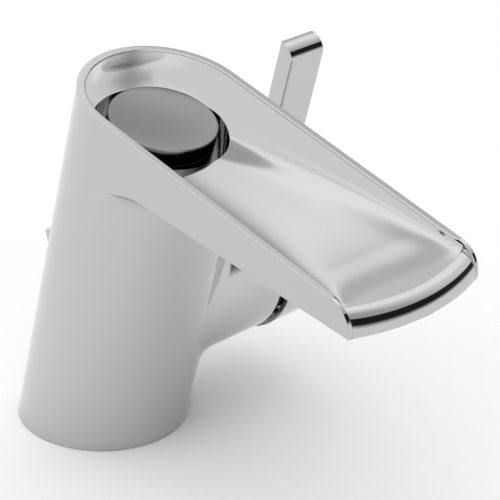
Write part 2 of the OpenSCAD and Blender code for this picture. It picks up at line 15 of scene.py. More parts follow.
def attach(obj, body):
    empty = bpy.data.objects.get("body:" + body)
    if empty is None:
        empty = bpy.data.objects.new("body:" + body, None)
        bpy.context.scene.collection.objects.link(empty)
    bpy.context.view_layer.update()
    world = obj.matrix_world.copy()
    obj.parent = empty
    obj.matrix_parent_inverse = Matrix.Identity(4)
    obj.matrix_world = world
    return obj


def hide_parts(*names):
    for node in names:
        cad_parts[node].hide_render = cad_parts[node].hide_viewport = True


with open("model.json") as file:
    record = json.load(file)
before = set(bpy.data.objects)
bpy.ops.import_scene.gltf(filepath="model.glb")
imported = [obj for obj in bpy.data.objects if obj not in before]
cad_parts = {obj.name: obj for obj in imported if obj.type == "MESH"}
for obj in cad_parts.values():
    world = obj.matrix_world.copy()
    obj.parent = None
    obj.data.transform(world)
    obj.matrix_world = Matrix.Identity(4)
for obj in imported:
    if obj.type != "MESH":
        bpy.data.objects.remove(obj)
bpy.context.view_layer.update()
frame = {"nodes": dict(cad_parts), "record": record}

TAU = 2 * math.pi
DOWN = np.array([0, 0, -1.0])

# Sizes of the object in millimetres, as in the CAD source, with angles in radians

# Column, and the plane of the rim
COL_R = 25.0
RIM_H = 114.5
LEAN = math.radians(15.6)
SLOPE = math.radians(15.0)

# Spout: straight sides, nose, underside, front corners, rolled lip, and the cove below
SPOUT_LEN = 95.7
NOSE_BULGE = 4.5
NOSE_H = 7.3
UNDER = math.tan(math.radians(5.6))
CORNER_R = 8.0
LIP_R = 6.0
LIP_DEPTH = 2.0
COVE_R = 8.0

# Trough: its walls and their edges, the stretch where they thin, and its floor
RIM_WALL = 2.4
TIP_WALL = 1.4
INNER_SHARE = 0.2
OUTER_SHARE = 0.12
THIN_FROM = 0.86
THIN_OVER = 0.13
TROUGH_DEPTH = 14.0
FLOOR_POWER = 1.2
LEVEL_OVER = 0.15

# Squareness of the trough's section, where 2 is an ellipse: at the back, gained evenly, and gained at the lip
SQUARE_BACK = 3.4
SQUARE_GAIN = 1.1
SQUARE_LIP = 5
SQUARE_POWER = 8

# Outlet well in the trough's floor
WELL_R = 19.3
WELL_FLOOR = 88.0
WELL_EYE_R = 5.0

# Hub and its bore
HUB_R = 24.0
HUB_H = 44.3
HUB_END = 40.5
HUB_FILLET = 8.0
HUB_EDGE = 0.4
HUB_BORE_R = 19.1
HUB_BORE_END = 30.5

# Lift rod's way out at the back, and the patch of the column round it
ROD_Y = 5.1
ROD_LEAN = math.radians(15.5)
BUSH_R = 3.35
BUSH_TO = 29.0
PATCH_SIDES = math.radians(72), math.radians(108)
PATCH_ENDS = 24.0, 50.0

# Foot: relief, gasket groove, and its holes as (x, y, radius, depth): two inlets, the stud and the lift rod
FOOT_GAP = 0.3
GROOVE_R = 23.5
GROOVE_IN = 20.6
GROOVE_H = 1.9
FOOT_HOLES = ((-9.5, -7.5, 4.5, 12.0), (-9.5, 7.5, 4.5, 12.0),
              (10.0, 0.0, 3.4, 14.0), (0.0, ROD_Y, 2.65, 18.0))

# Handle cap: drum, edges, skirt, and the grub screw's hole
CAP_R = 25.0
CAP_START = 43.8
CAP_END = 60.5
CAP_EDGE = 1.2
CAP_SKIRT_EDGE = 0.35
CAP_SKIRT_R = 23.4
CAP_FLOOR = 50.4
CAP_BORE_R = 5.7
GRUB_R = 3.05
GRUB_END = 20.0
GRUB_PATCH = math.radians(14)

# Cover over the outlet
COVER_R = 15.5
COVER_TOP = 107.0
COVER_SEAM = 101.7
COVER_EDGE = 0.5
COVER_DISH = 0.5
COVER_FOOT_EDGE = 0.25
COVER_FOOT_R = 12.0

# Values that follow from these
NOSE_R = (COL_R ** 2 + NOSE_BULGE ** 2) / (2 * NOSE_BULGE)
NOSE_Y = NOSE_R - SPOUT_LEN - NOSE_BULGE
SPOUT_DROP = NOSE_H + SPOUT_LEN * UNDER
UNDER_ANGLE = math.atan(UNDER) - SLOPE + LEAN
STRAIGHT = SPOUT_LEN - CORNER_R
BACK_W = COL_R - RIM_WALL
TIP_W = COL_R - TIP_WALL
TIP_EDGE = INNER_SHARE * TIP_WALL
LEAD = math.sqrt(NOSE_R ** 2 - TIP_W ** 2) - math.sqrt(NOSE_R ** 2 - COL_R ** 2)

# Drawing the skins: where the channel starts, where its normals come from its own parameters, and the step
# of numeric slopes
CHANNEL_START = 27.0
LIP_NORMALS_FROM = 84.0
STEP = 1e-3

# How far the shading normals of the trough's steep walls lean, in degrees, and where along the spout it fades
LEAN_ALONG = 32
LEAN_BACK = 38
LEAN_FADE_FROM = 0.78
LEAN_FADE_OVER = 0.17


# Frames

def row(x, y, z):
    """Points in the row frame itself."""
    return np.stack(np.broadcast_arrays(np.asarray(x, float), y, z), -1)


def col(x, b, t):
    """Column frame to row frame: b is backward, t along the leaning axis."""
    return row(x, b * math.cos(LEAN) - t * math.sin(LEAN), t * math.cos(LEAN) + b * math.sin(LEAN))


def col_dir(x, b, t):
    return col(x, b, t) - col(0, 0, 0)


def rim(x, y, z):
    """Rim frame to row frame: the origin is the rim's centre, z is square to the rim plane."""
    c, s = math.cos(SLOPE), math.sin(SLOPE)
    return row(x, y * c - z * s, y * s + z * c) + col(0, 0, RIM_H)


def rim_dir(x, y, z):
    return rim(x, y, z) - rim(0, 0, 0)


def rim_to_col(x, y, z):
    d = SLOPE - LEAN
    return x, y * math.cos(d) - z * math.sin(d), RIM_H + y * math.sin(d) + z * math.cos(d)


def col_to_rim_z(b, t):
    d = SLOPE - LEAN
    return -b * math.sin(d) + (t - RIM_H) * math.cos(d)


def hub(up, fore, out):
    """Hub frame to row frame: out is along the hub's axis, fore is towards the spout."""
    return col(out, -np.asarray(fore, float), HUB_H + np.asarray(up, float))


def hub_dir(up, fore, out):
    return hub(up, fore, out) - hub(0, 0, 0)


def coords(p):
    """The coordinates of an array of points, one by one."""
    return np.moveaxis(p, -1, 0)


def polar(r, a):
    return r * np.cos(a), r * np.sin(a)


def unit(v):
    return v / np.maximum(np.linalg.norm(v, axis=-1, keepdims=True), 1e-12)


def ease(t):
    c = np.clip(t, 0, 1)
    return c * c * (3 - 2 * c)


def crowd(steps):
    """Shares from 0 to 1 that come closer together towards 1."""
    return 1 - (1 - np.linspace(0, 1, steps)) ** 4


def both_ways(steps):
    """Shares from -1 to 1 that come closer together towards both ends."""
    half = crowd(steps)
    return np.concatenate([-half[::-1], half[1:]])


# Mesh making

class Skin:
    """Grids of points with their own exact normals, in millimetres, turned into one mesh in metres."""

    def __init__(self):
        self.p, self.n, self.f, self.count = [], [], [], 0

    def grid(self, p, n=None, like=None, hidden=None):
        """p has shape (rows, columns, 3). Normals are n, or worked out from the grid and turned towards like.

        A face is left out where hidden is true at all its corners.
        """
        if n is None:
            du, dv = np.gradient(p, axis=0), np.gradient(p, axis=1)
            n = unit(np.cross(du, dv))
            if np.sum(n * like) < 0:
                n = -n
        n = np.broadcast_to(n, p.shape)
        rows, cols = p.shape[:2]
        i = np.arange(rows * cols).reshape(rows, cols)
        quads = np.stack([i[:-1, :-1], i[1:, :-1], i[1:, 1:], i[:-1, 1:]], -1).reshape(-1, 4)
        if hidden is not None:
            quads = quads[~hidden.reshape(-1)[quads].all(1)]
        flat_p, flat_n = p.reshape(-1, 3), n.reshape(-1, 3)
        d1 = flat_p[quads[:, 2]] - flat_p[quads[:, 0]]
        d2 = flat_p[quads[:, 3]] - flat_p[quads[:, 1]]
        turn = np.sum(np.cross(d1, d2) * flat_n[quads].mean(1), -1) < 0
        quads[turn] = quads[turn][:, ::-1]
        self.p.append(flat_p)
        self.n.append(flat_n)
        self.f.extend((quads + self.count).tolist())
        self.count += len(flat_p)

    def polygon(self, points, faces, n):
        self.p.append(np.asarray(points, float))
        self.n.append(np.broadcast_to(n, (len(points), 3)))
        for f in faces:
            a, b, c = (self.p[-1][f[k]] for k in range(3))
            if np.dot(np.cross(b - a, c - a), n) < 0:
                f = f[::-1]
            self.f.append([k + self.count for k in f])
        self.count += len(points)

    def mesh(self, name):
        """Drops repeated corners, faces that they collapse and points that no face uses."""
        p, n = np.concatenate(self.p) / 1000, np.concatenate(self.n)
        keep = []
        for f in self.f:
            seen = []
            for k in f:
                if all(np.abs(p[k] - p[j]).max() > 1e-7 for j in seen):
                    seen.append(k)
            if len(seen) > 2:
                keep.append(seen)
        used, ends = np.unique(np.concatenate(keep), return_inverse=True)
        ends = iter(ends.reshape(-1).tolist())
        keep = [[next(ends) for _ in f] for f in keep]
        p, n = p[used], n[used]
        m = bpy.data.meshes.new(name)
        m.from_pydata(p.tolist(), [], keep)
        m.update()
        m.shade_smooth()
        m.normals_split_custom_set_from_vertices(n.tolist())
        o = bpy.data.objects.new(name, m)
        bpy.context.scene.collection.objects.link(o)
        return o


def inside(q, ring):
    """Whether the flat point q lies inside a closed ring of points."""
    r = np.asarray(ring)
    s = np.roll(r, -1, 0)
    crosses = (r[:, 1] > q[1]) != (s[:, 1] > q[1])
    at = (s[:, 0] - r[:, 0]) * (q[1] - r[:, 1]) / (s[:, 1] - r[:, 1] + 1e-30) + r[:, 0]
    return (crosses & (q[0] < at)).sum() % 2 == 1


def flat_face(outline, holes):
    """A flat face with holes: points and triangles."""
    points, faces = [], []
    for ring in [outline] + holes:
        base = len(points)
        points += [Vector(q) for q in ring]
        faces.append(list(range(base, base + len(ring))))
    v, _, f, _, _, _ = delaunay_2d_cdt(points, [], faces, 1, 1e-6)
    v = np.array([list(q) for q in v])
    kept = []
    for face in f:
        c = v[list(face)].mean(0)
        if inside(c, outline) and not any(inside(c, h) for h in holes):
            kept.append(list(face))
    return v, kept


def ring_xy(x, y, r, steps=64):
    dx, dy = polar(r, np.arange(steps) * TAU / steps)
    return np.stack([x + dx, y + dy], -1).tolist()


def hole_patch(s, place, normal, box, ring, steps=9):
    """Fills a rectangle of a surface's two parameters round a hole. ring is the hole's outline in them."""
    (u0, u1), (v0, v1) = box
    cu, cv = (u0 + u1) / 2, (v0 + v1) / 2
    hu, hv = (u1 - u0) / 2, (v1 - v0) / 2
    outer = []
    for u, v in ring:
        a, b = (u - cu) / hu, (v - cv) / hv
        k = max(abs(a), abs(b))
        outer.append((cu + hu * a / k, cv + hv * b / k))
    ring, outer = np.array(ring), np.array(outer)
    for corner in [(u, v) for u in (u0, u1) for v in (v0, v1)]:
        away = np.hypot((outer[:, 0] - corner[0]) / hu, (outer[:, 1] - corner[1]) / hv)
        outer[np.argmin(away)] = corner
    ring, outer = np.vstack([ring, ring[:1]]), np.vstack([outer, outer[:1]])
    k = np.linspace(0, 1, steps)[:, None, None]
    w = ring[None] + k * (outer - ring)[None]
    s.grid(place(w[..., 0], w[..., 1]), normal(w[..., 0], w[..., 1]))


def lathe(s, profile, place, turn, steps=241):
    """profile is a list of (radius, along, normal radius part, normal along part)."""
    a = np.linspace(0, TAU, steps)[None, :]
    r, h, nr, nh = (np.array(c, float)[:, None] for c in zip(*profile))
    s.grid(place(*polar(r, a), h), turn(*polar(nr, a), nh))


def bend(r, h, e, start, end, steps=7):
    """Quarter round in a lathe's profile about (r, h), angles in degrees from the outward direction."""
    out = []
    for a in np.radians(np.linspace(start, end, steps)):
        out.append((r + e * math.cos(a), h + e * math.sin(a), math.cos(a), math.sin(a)))
    return out


# The trough, where run is the way along the spout from the rim's centre

def half_width(run):
    """Half the trough's width between its side walls."""
    return BACK_W + (TIP_W - BACK_W) * ease((run / SPOUT_LEN - THIN_FROM) / THIN_OVER)


def floor_depth(run):
    """The floor rises to the lip by a power curve, and levels out smoothly over the last stretch."""
    left = np.maximum(1 - run / (SPOUT_LEN - LIP_R), 0)
    u = left / LEVEL_OVER
    levelling = LEVEL_OVER ** FLOOR_POWER * ((3 - FLOOR_POWER) * u ** 2 - (2 - FLOOR_POWER) * u ** 3)
    share = np.where(u < 1, levelling, left ** FLOOR_POWER)
    return LIP_DEPTH + (TROUGH_DEPTH - LIP_DEPTH) * share


def square(run):
    """Exponent of the trough's section."""
    share = np.clip(run / SPOUT_LEN, 0, 1)
    return SQUARE_BACK + SQUARE_GAIN * share + SQUARE_LIP * share ** SQUARE_POWER


def wall(run):
    return COL_R - half_width(run)


def inner_fillet(run):
    return INNER_SHARE * wall(run)


def outer_fillet(run):
    return OUTER_SHARE * wall(run)


def corner_edge(k):
    """Inner edge of the side walls' rounded front corner, in the side view: (run, z)."""
    return STRAIGHT + (CORNER_R - TIP_EDGE + LEAD) * np.sin(k), (CORNER_R - TIP_EDGE) * np.cos(k) - CORNER_R


def edge_drop(run):
    """How far the trough's inner edge lies below the rim plane."""
    k = np.arcsin(np.clip((run - STRAIGHT) / (CORNER_R - TIP_EDGE + LEAD), 0, 1))
    return inner_fillet(run) + (CORNER_R - TIP_EDGE) * (1 - np.cos(k))


def trough_z(xn, run):
    """Height of the trough at a share xn of its half width."""
    n, d, f = square(run), floor_depth(run), edge_drop(run)
    return -f - (d - f) * np.maximum(1 - np.clip(np.abs(xn), 0, 1) ** n, 0) ** (1 / n)


def from_middle(x, y):
    """Distance from the trough's middle line, which ends at the rim's centre."""
    return np.where(y > 0, np.hypot(x, y), np.abs(x))


def trough_field(x, y, z):
    """Grows outward through the trough's surface, so that its slope gives the normals."""
    run = np.maximum(-y, 0)
    n, d, f, w = square(run), floor_depth(run), edge_drop(run), half_width(run)
    return (from_middle(x, y) / w) ** n + (np.maximum(-z - f, 0) / (d - f)) ** n


def trough_normal(x, y, z):
    g = np.stack([trough_field(x + STEP, y, z) - trough_field(x - STEP, y, z),
                  trough_field(x, y + STEP, z) - trough_field(x, y - STEP, z),
                  trough_field(x, y, z + STEP) - trough_field(x, y, z - STEP)], -1)
    return -unit(g)


def channel_normal(xn, run):
    """Normals of the channel from its own two parameters, which also hold where the walls drop to the lip."""
    q = np.clip(xn, -1 + 2 * STEP, 1 - 2 * STEP)

    def at(a, r):
        return np.stack([a * half_width(r), -r, trough_z(a, r)], -1)

    n = unit(np.cross(at(q + STEP, run) - at(q - STEP, run), at(q, run - STEP) - at(q, run + STEP)))
    return n * np.where(n[..., 2:] < 0, -1, 1)


def soften(n, x, y):
    """Leans the shading normals of steep walls to the opening, so that they mirror the room."""
    level = np.maximum(np.hypot(n[..., 0], n[..., 1]), 1e-9)
    steep = np.degrees(np.arctan2(n[..., 2], level))
    back = np.clip(np.where(y > 0, y / np.maximum(np.hypot(x, y), 1e-9), 0), 0, 1)
    lean = (LEAN_ALONG + LEAN_BACK * back) * (1 - ease((-y / SPOUT_LEN - LEAN_FADE_FROM) / LEAN_FADE_OVER))
    steep = np.radians(steep + lean * (1 - np.clip(steep, 0, 90) / 90) ** (3 - back))
    return np.stack([n[..., 0] / level * np.cos(steep), n[..., 1] / level * np.cos(steep), np.sin(steep)], -1)


def trough_grid(s, x, y, z, n):
    s.grid(rim(x, y, z), rim_dir(*coords(soften(n, x, y))))


def make_channel(s):
    """The trough from just in front of the outlet to the lip's crest."""
    xn = both_ways(49)
    crest = np.sqrt((NOSE_R - LIP_R) ** 2 - (xn * TIP_W) ** 2) - NOSE_Y
    run = CHANNEL_START + np.linspace(0, 1, 121)[:, None] * (crest - CHANNEL_START)
    x = xn * half_width(run)
    z = trough_z(xn, run)
    n = trough_normal(x, -run, z)
    top = np.broadcast_to(np.abs(xn) == 1, run.shape)
    n[top] = row(-np.sign(x[top]), 0, 0)
    n = np.where(run[..., None] > LIP_NORMALS_FROM, channel_normal(xn, run), n)
    trough_grid(s, x, -run, z, n)


def well_edge(ang, far):
    """Distance from the rim's centre, in each direction ang, to where the trough's floor meets the well."""
    # halving between 15 mm out, which lies in the well, and far, which lies outside it
    near = np.full_like(far, 15.0)
    for _ in range(40):
        mid = (near + far) / 2
        x, y = polar(mid, ang)
        z = trough_z(from_middle(x, y) / half_width(np.maximum(-y, 0)), np.maximum(-y, 0))
        _, b, _ = rim_to_col(x, y, z)
        in_well = np.hypot(x, b) < WELL_R
        near, far = np.where(in_well, mid, near), np.where(in_well, far, mid)
    return far


def make_bowl(s):
    """The trough's round end, as lines from the wall in to the outlet's edge, and the outlet well below."""
    xn = both_ways(49)
    side = np.linspace(0, CHANNEL_START, 25)
    a = np.linspace(0, math.pi, 121)[1:]
    wall_x = np.full(len(side) - 1, BACK_W)
    ox = np.concatenate([xn * BACK_W, wall_x, BACK_W * np.cos(a), -wall_x])
    oy = np.concatenate([np.full(len(xn), -CHANNEL_START), -side[::-1][1:], BACK_W * np.sin(a), -side[1:]])
    ox = np.where(oy <= 0, ox / BACK_W * half_width(np.maximum(-oy, 0)), ox)
    outer, ang = np.hypot(ox, oy), np.arctan2(oy, ox)
    inner = well_edge(ang, outer)
    r = inner + crowd(33)[:, None] * (outer - inner)
    x, y = polar(r, ang)
    run = np.maximum(-y, 0)
    z = trough_z(from_middle(x, y) / half_width(run), run)
    on_wall = np.abs(oy + CHANNEL_START) > 1e-9
    z[-1] = np.where(on_wall, -inner_fillet(np.maximum(-oy, 0)), z[-1])
    n = trough_normal(x, y, z)
    inward = row(np.where(oy > 0, -np.cos(ang), -np.sign(ox)), np.where(oy > 0, -np.sin(ang), 0), 0)
    n[-1, on_wall] = inward[on_wall]
    trough_grid(s, x, y, z, n)
    _, b, t = rim_to_col(x[0], y[0], z[0])
    phi = np.arctan2(b, x[0])
    d = np.linspace(0, 1, 12)[:, None]
    s.grid(col(*polar(WELL_R, phi), t + d * (WELL_FLOOR - t)), col_dir(*polar(-1, phi), 0))
    r = np.linspace(WELL_R, WELL_EYE_R, 4)[:, None]
    s.grid(col(*polar(r, phi), WELL_FLOOR), col_dir(0, 0, 1.0))


def make_rim(s):
    """Rim band: inner edge, flat top and outer edge.

    It is swept round the back, along the sides and down the front corners.
    """
    q = np.linspace(0, math.pi / 2, 9)
    flat = np.array([0.33, 0.67])
    out_part = np.concatenate([-np.cos(q), 0 * flat, np.sin(q)])[:, None]
    up_part = np.concatenate([np.sin(q), 0 * flat + 1, np.cos(q)])[:, None]
    points, normals = [], []

    def section(at, outward, upward, run):
        """One outline across the band, from inside to outside. at is where its outer face meets its top."""
        w, fi, fo = wall(run), inner_fillet(run), outer_fillet(run)
        across = np.concatenate([w - fi + fi * np.cos(q), w - fi + flat * (fo - w + fi), fo - fo * np.sin(q)])
        deep = np.concatenate([fi - fi * np.sin(q), 0 * flat, fo - fo * np.cos(q)])
        o, u = np.array(outward), np.array(upward)
        points.append(np.array(at) - across[:, None] * o - deep[:, None] * u)
        normals.append(out_part * o + up_part * u)

    side = np.linspace(0, STRAIGHT, 90)
    corner = np.linspace(0, math.acos((CORNER_R - NOSE_H) / (CORNER_R - TIP_EDGE)) + 0.03, 41)
    for sign in (1, -1):
        start = len(points)
        for k in corner[::-1]:
            at = (sign * COL_R, -STRAIGHT - CORNER_R * math.sin(k), CORNER_R * (math.cos(k) - 1))
            section(at, (sign, 0, 0), (0, -math.sin(k), math.cos(k)), SPOUT_LEN)
            # the front follows the nose's plan arc
            lead = np.sqrt(NOSE_R ** 2 - points[-1][:, 0] ** 2) - math.sqrt(NOSE_R ** 2 - COL_R ** 2)
            points[-1][:, 1] -= lead * math.sin(k)
        for run in side[::-1][1:]:
            section((sign * COL_R, -run, 0), (sign, 0, 0), (0, 0, 1), run)
        if sign == 1:
            for a in np.linspace(0, math.pi, 121)[1:-1]:
                section((*polar(COL_R, a), 0), (*polar(1, a), 0), (0, 0, 1), 0)
        else:
            points[start:], normals[start:] = points[start:][::-1], normals[start:][::-1]
    s.grid(rim(*coords(np.array(points))), rim_dir(*coords(np.array(normals))))


# The spout's front, sides and underside

def under_z(run):
    """Height of the spout's underside in the rim frame."""
    return -(SPOUT_DROP - run * UNDER)


def make_lip(s):
    """The rolled lip, rounding up into the walls at both ends."""
    g = np.linspace(0, 1, 49)[:, None]
    gamma = g * (math.acos((LIP_DEPTH + LIP_R - NOSE_H) / LIP_R) + 0.02)
    xn = both_ways(61)[None, :]
    r = NOSE_R - LIP_R + LIP_R * np.sin(gamma)
    z = -LIP_DEPTH - LIP_R + LIP_R * np.cos(gamma)
    crest = math.sqrt((NOSE_R - LIP_R) ** 2 - TIP_W ** 2) - NOSE_Y
    k0 = math.asin((crest - STRAIGHT) / (CORNER_R - TIP_EDGE + LEAD))
    k1 = math.acos((CORNER_R - NOSE_H) / (CORNER_R - TIP_EDGE))
    edge_run, edge_z = corner_edge(k0 + (k1 - k0) * g)
    n = square(SPOUT_LEN)
    rise = 1 - np.maximum(1 - np.abs(xn) ** n, 0) ** (1 / n)
    end = np.sqrt(r ** 2 - TIP_W ** 2) - NOSE_Y
    run = np.sqrt(r ** 2 - (xn * TIP_W) ** 2) - NOSE_Y + rise * (edge_run - end)
    z = np.maximum(z + rise * (edge_z - z), under_z(run))
    s.grid(rim(xn * TIP_W, -run, z), like=rim_dir(0, -0.7, 0.7))


def make_sides(s):
    """The spout's flat outer sides, down to the underside and the cove."""
    cove_b, cove_t = cove_side_curve(np.linspace(0, math.acos(COL_R / (COL_R + COVE_R)), 40))
    cove_z = col_to_rim_z(cove_b, cove_t)
    order = np.argsort(cove_b)
    k = np.linspace(0, math.pi / 2, 30)[1:]
    y = np.concatenate([np.linspace(0, -STRAIGHT, 120),
                        -STRAIGHT - (CORNER_R - outer_fillet(SPOUT_LEN)) * np.sin(k)])
    fo = outer_fillet(np.minimum(-y, SPOUT_LEN))
    past = np.maximum(-y - STRAIGHT, 0)
    top = np.where(past > 0, -CORNER_R + np.sqrt(np.maximum((CORNER_R - fo) ** 2 - past ** 2, 0)), -fo)
    low = np.where(y > cove_b.min(), np.interp(y, cove_b[order], cove_z[order]), under_z(-y))
    top = np.maximum(top, low)
    z = top + np.linspace(0, 1, 9)[:, None] * (low - top)
    # the back edge follows the column's axis, which isn't square to the rim, and this fades over 20 mm
    shift = z * math.tan(SLOPE - LEAN) * np.maximum(1 + y / 20, 0)
    for sign in (-1, 1):
        s.grid(rim(sign * COL_R, y + shift, z), rim_dir(sign, 0, 0))


def make_underside(s):
    """The spout's underside, from 1 mm outside the column to just short of the nose."""
    x = np.linspace(-COL_R, COL_R, 61)[None, :]
    front = np.sqrt(NOSE_R ** 2 - x ** 2) - NOSE_Y
    start = np.sqrt(COL_R ** 2 - x ** 2) + 1
    run = start + np.linspace(0, 1, 61)[:, None] * (front - 0.03 - start)
    _, b, _ = rim_to_col(x, -run, under_z(run))
    in_cove = x ** 2 + (b - COVE_R * math.sin(UNDER_ANGLE)) ** 2 < (COL_R + COVE_R) ** 2
    s.grid(rim(x, -run, under_z(run)), unit(rim_dir(0, -UNDER, -1)), hidden=in_cove)


# Blends: the cove between column and spout, and the fillet between column and hub

def under_t(fore):
    """Height of the spout's underside along the column's axis."""
    return RIM_H - SPOUT_DROP / math.cos(LEAN - SLOPE) + fore * math.tan(UNDER_ANGLE)


def arc(centre, a, b, steps, share=1.0):
    """Great-circle points from foot a to foot b of a ball, and their directions from the centre.

    Rows follow the arc, which ends at a share of its length.
    """
    u, v = a - centre, b - centre
    cosine = np.clip(np.sum(u * v, -1) / (np.linalg.norm(u, axis=-1) * np.linalg.norm(v, axis=-1)), -1, 1)
    turn = np.maximum(np.arccos(cosine), 1e-4)[None, :, None]
    k = np.linspace(0, 1, steps)[:, None, None] * np.broadcast_to(share, cosine.shape)[None, :, None]
    q = (np.sin((1 - k) * turn) * u[None] + np.sin(k * turn) * v[None]) / np.sin(turn)
    return centre[None] + q, unit(q)


def cove_feet(turn):
    """Centre of the cove's rolling ball, and where it touches the column and the underside."""
    out = COL_R + COVE_R
    side, fore = polar(out, turn)
    h = under_t(fore) - COVE_R / math.cos(UNDER_ANGLE)
    centre = np.stack([side, -fore, h], -1)
    on_col = centre - COVE_R * row(side, -fore, 0) / out
    on_under = centre + COVE_R * np.array([0, math.sin(UNDER_ANGLE), math.cos(UNDER_ANGLE)])
    return centre, on_col, on_under


def cove_share(turn):
    """How far along its arc the cove gets before it leaves the spout's side face."""
    k = np.linspace(0, 1, 400)
    p, _ = arc(*cove_feet(turn), len(k))
    out = np.abs(p[..., 0]) > COL_R + 1e-9
    return k[np.where(out.any(0), out.argmax(0), len(k) - 1)]


def cove_side_curve(turn):
    """Where the cove ends on the spout's side face or underside: (b, t)."""
    p, _ = arc(*cove_feet(turn), 2, cove_share(turn))
    return p[-1, :, 1], p[-1, :, 2]


def make_cove(s):
    turn = np.linspace(0.002, math.pi - 0.002, 121)
    p, n = arc(*cove_feet(turn), 17, cove_share(turn))
    s.grid(col(*coords(p)), -col_dir(*coords(n)))


def make_hub(s):
    """The hub's fillet on the column, its round side, end face and bore."""
    t = np.linspace(0, TAU, 241)
    out = COL_R + HUB_FILLET
    up, fore = polar(HUB_R + HUB_FILLET, t)
    far = np.sqrt(out ** 2 - fore ** 2)
    centre = np.stack([up, fore, far], -1)
    on_hub = centre - HUB_FILLET * row(*polar(1, t), 0)
    on_col = centre - HUB_FILLET * row(0, fore, far) / out
    p, n = arc(centre, on_hub, on_col, 17)
    s.grid(hub(*coords(p)), -hub_dir(*coords(n)))
    # the round side starts a little inside the fillet
    start = far - 1.0
    x = start + np.linspace(0, 1, 9)[:, None] * (HUB_END - HUB_EDGE - start)
    s.grid(hub(*polar(HUB_R, t), x), hub_dir(*polar(1, t), 0))
    k = np.linspace(0, math.pi / 2, 6)[:, None]
    r = HUB_R - HUB_EDGE + HUB_EDGE * np.cos(k)
    x = HUB_END - HUB_EDGE + HUB_EDGE * np.sin(k)
    s.grid(hub(*polar(r, t), x), hub_dir(*polar(np.cos(k), t), np.sin(k)))
    r = np.array([HUB_R - HUB_EDGE, HUB_BORE_R])[:, None]
    s.grid(hub(*polar(r, t), HUB_END), hub_dir(0, 0, 1))
    x = np.array([HUB_END, HUB_BORE_END])[:, None]
    s.grid(hub(*polar(HUB_BORE_R, t), x), hub_dir(*polar(-1, t), 0))


# Column and foot

def on_column(a, t):
    return col(*polar(COL_R, a), t)


def column_normal(a, t):
    return col_dir(*polar(1, a), 0 * t)


def foot_t(a):
    """Height along the axis at which the column meets the foot's outer ring."""
    return (FOOT_GAP - COL_R * np.sin(a) * math.sin(LEAN)) / math.cos(LEAN)


def rim_t(a):
    """Height along the axis at which the column meets the rim's outer edge."""
    d = SLOPE - LEAN
    return RIM_H + (COL_R * np.sin(a) * math.sin(d) - outer_fillet(0.0)) / math.cos(d)


def covered(a, t):
    """Where other surfaces cover the column: in the ellipse of the hub's blend, and above the cove's foot."""
    blend_up = HUB_R + HUB_FILLET
    blend_fore = blend_up * COL_R / (COL_R + HUB_FILLET)
    in_hub = (np.cos(a) > 0) & (((t - HUB_H) / blend_up) ** 2 + (COL_R * np.sin(a) / blend_fore) ** 2 < 1)
    cove_foot = under_t(-(COL_R + COVE_R) * np.sin(a)) - COVE_R / math.cos(UNDER_ANGLE)
    return in_hub | ((np.sin(a) < -1e-6) & (t > cove_foot))


def make_column(s):
    def span(a0, a1, steps, low, high):
        a = np.linspace(a0, a1, steps)[None, :] + np.zeros((65, 1))
        t = low(a) + np.linspace(0, 1, 65)[:, None] * (high(a) - low(a))
        s.grid(on_column(a, t), column_normal(a, t), hidden=covered(a, t))

    left, right = PATCH_SIDES
    bottom, top = PATCH_ENDS
    span(0, left, 73, foot_t, rim_t)
    span(right, math.pi, 73, foot_t, rim_t)
    span(left, right, 37, foot_t, lambda a: bottom + 0 * a)
    span(left, right, 37, lambda a: top + 0 * a, rim_t)
    # below the spout the rows run to 1.5 mm inside it, and those above the cove's foot are left out
    span(math.pi, TAU, 181, foot_t, lambda a: under_t(-COL_R * np.sin(a)) + 1.5)


def make_rod_exit(s):
    """The lift rod's hole in the back of the column, and its wall down to the bush."""
    tilt = LEAN + ROD_LEAN
    b0, t0 = ROD_Y * math.cos(LEAN), -ROD_Y * math.sin(LEAN)

    def bore(psi, along):
        across, high = polar(BUSH_R, psi)
        return (across, b0 + along * math.sin(tilt) + high * math.cos(tilt),
                t0 + along * math.cos(tilt) - high * math.sin(tilt))

    psi = np.linspace(0, TAU, 96, endpoint=False)
    across, high = polar(BUSH_R, psi)
    along = (np.sqrt(COL_R ** 2 - across ** 2) - b0 - high * math.cos(tilt)) / math.sin(tilt)
    x, b, t = bore(psi, along)
    hole_patch(s, on_column, column_normal, (PATCH_SIDES, PATCH_ENDS), list(zip(np.arctan2(b, x), t)))
    psi, along = np.append(psi, TAU), np.append(along, along[0])
    k = np.linspace(0, 1, 8)[:, None]
    s.grid(col(*bore(psi, along + k * (BUSH_TO - along))),
           col_dir(-np.cos(psi), -np.sin(psi) * math.cos(tilt), np.sin(psi) * math.sin(tilt)))


def make_foot(s):
    """Outer ring, walls of the gasket groove, and the disc with its holes."""
    a = np.linspace(0, TAU, 181)
    s.grid(np.stack([on_column(a, foot_t(a)), row(*polar(GROOVE_R, a), FOOT_GAP)]), DOWN)
    for r, way, low in ((GROOVE_R, -1, FOOT_GAP), (GROOVE_IN, 1, 0)):
        z = np.array([low, GROOVE_H])[:, None]
        s.grid(row(*polar(r, a), z), row(*polar(way, a), 0))
    v, f = flat_face(ring_xy(0, 0, GROOVE_IN, 180), [ring_xy(x, y, r) for x, y, r, _ in FOOT_HOLES])
    s.polygon(np.column_stack([v, np.zeros(len(v))]), f, DOWN)
    a = np.linspace(0, TAU, 65)
    for x, y, r, deep in FOOT_HOLES:
        dx, dy = polar(r, a)
        s.grid(row(x + dx, y + dy, np.array([0, deep])[:, None]), row(*polar(-1, a), 0))
        k = np.array([1, 0.02])[:, None]
        s.grid(row(x + k * dx, y + k * dy, deep), DOWN)


# Handle cap and cover

